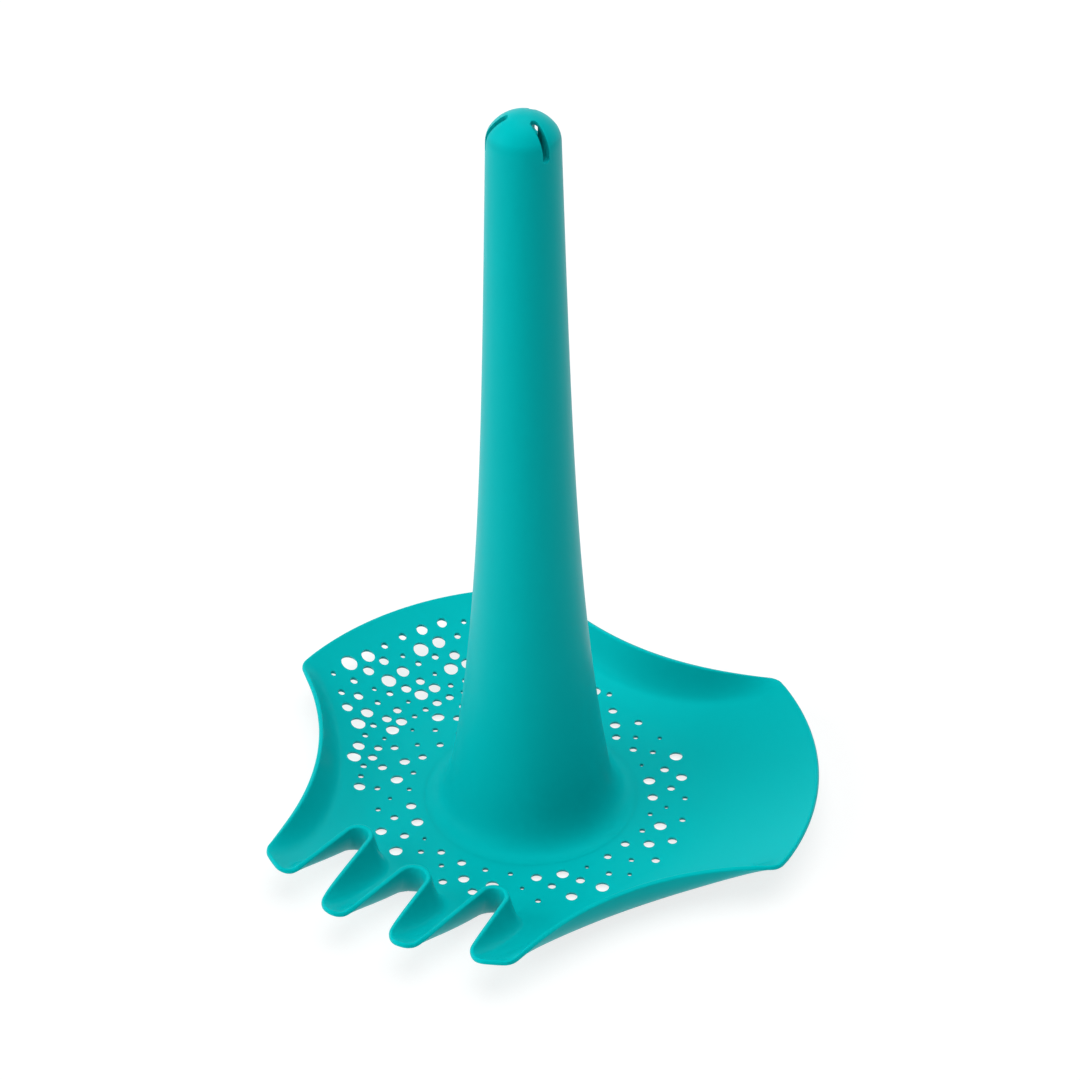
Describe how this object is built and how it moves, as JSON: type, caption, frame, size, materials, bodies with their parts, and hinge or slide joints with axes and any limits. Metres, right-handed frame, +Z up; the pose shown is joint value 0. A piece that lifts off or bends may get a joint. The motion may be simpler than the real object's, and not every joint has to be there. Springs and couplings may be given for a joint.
{
  "type": "sand rake",
  "caption": "Hand-held sand toy: a shallow three-lobed dish with rake teeth, a spade edge and a sieve, on an upright hollow handle with a slotted dome.",
  "frame": {"origin": "on the handle's axis at ground level, in the middle of the open foot", "axes": "+Z up along the handle, -Y towards the rake's teeth, the spade lobe at 30 degrees from +X and the sieve lobe at 150 degrees"},
  "size_m": [0.1896, 0.1756, 0.256],
  "materials": {
    "teal_plastic": "satin"
  },
  "bodies": {
    "root": {"blade": "teal_plastic", "handle": "teal_plastic", "tip_cap": "teal_plastic"}
  },
  "joints": []
}
